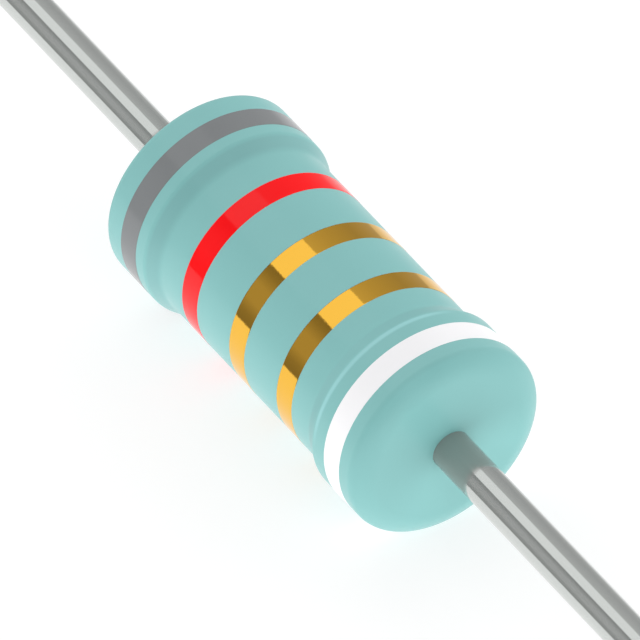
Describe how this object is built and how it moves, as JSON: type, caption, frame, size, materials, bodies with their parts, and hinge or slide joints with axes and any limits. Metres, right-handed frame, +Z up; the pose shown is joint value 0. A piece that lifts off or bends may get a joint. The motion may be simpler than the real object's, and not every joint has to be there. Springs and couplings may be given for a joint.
{
  "type": "axial resistor",
  "caption": "Axial wirewound resistor: pale turquoise coated body with bulged ends, ring colour code and straight tinned leads.",
  "frame": {"origin": "middle of the body, on its axis", "axes": "+X along the leads towards the white band's end, +Z up as the part lies on its two end bulges"},
  "size_m": [0.065, 0.0042, 0.0042],
  "materials": {
    "ceramic": "unglazed, fine-grained",
    "resistance_alloy": "drawn wire, slightly oxidised",
    "plated_steel": "pressed and plated",
    "tinned_copper": "bright tinned, smooth",
    "coating_lacquer": "satin lacquer, very finely mottled",
    "grey_paint": "printed ring, satin",
    "red_paint": "printed ring, gloss",
    "gold_paint": "printed ring, metallic",
    "white_paint": "printed ring, satin"
  },
  "bodies": {
    "root": {"ceramic_core": "ceramic", "resistance_wire": "resistance_alloy", "end_cap_left": "plated_steel", "end_cap_right": "plated_steel", "lead_left": "tinned_copper", "lead_right": "tinned_copper", "coating": "coating_lacquer", "band_grey": "grey_paint", "band_red": "red_paint", "band_gold_multiplier": "gold_paint", "band_gold_tolerance": "gold_paint", "band_white": "white_paint"}
  },
  "joints": []
}
